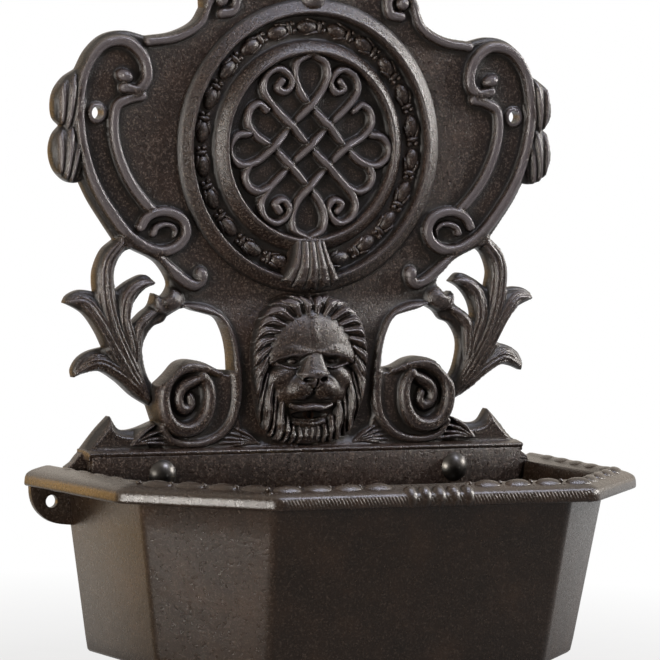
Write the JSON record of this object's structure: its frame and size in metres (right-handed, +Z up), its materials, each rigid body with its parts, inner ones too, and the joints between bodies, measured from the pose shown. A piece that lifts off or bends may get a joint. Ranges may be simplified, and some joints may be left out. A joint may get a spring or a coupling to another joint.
{
  "type": "wall fountain",
  "caption": "Cast-iron wall fountain: ornamental scrolled back plate with a knot medallion and lion-mask spout, above a half-octagon basin with a moulded rim.",
  "frame": {"origin": "on the wall plane, midway between the two ear holes of the basin", "axes": "+X to the right as seen from the front, +Y into the wall, +Z up"},
  "size_m": [0.498, 0.249, 0.632],
  "materials": {
    "cast_iron": "sand-cast, dark brown-black patina, satin",
    "black_steel": "painted with the casting, satin",
    "zinc_steel": "zinc plated",
    "copper": "drawn copper, dull",
    "brass": "turned brass, dull",
    "rubber": "matt black",
    "fibre": "red vulcanised fibre"
  },
  "bodies": {
    "fountain": {"back_plate": "cast_iron", "lion_mask": "cast_iron", "basin": "cast_iron", "basin_bolts": "black_steel", "bolt_washers": "zinc_steel", "bolt_nuts": "zinc_steel", "mask_screws": "zinc_steel", "clip_screws": "zinc_steel", "supply_pipe": "copper", "spout_tube": "copper", "pipe_clips": "copper", "inlet_elbow": "brass", "pipe_nut": "brass", "inlet_fitting": "brass", "drain_flange": "brass", "drain_nut": "brass", "spout_grommet": "rubber", "drain_gasket": "rubber", "drain_washer": "fibre"},
    "overflow": {"standpipe": "brass", "standpipe_seal": "rubber", "strainer_cap": "brass"}
  },
  "joints": [
    {"name": "overflow_lift", "type": "slide", "parent": "fountain", "child": "overflow", "axis": [0, 0, 1], "range_m": [0, 0.1]}
  ]
}
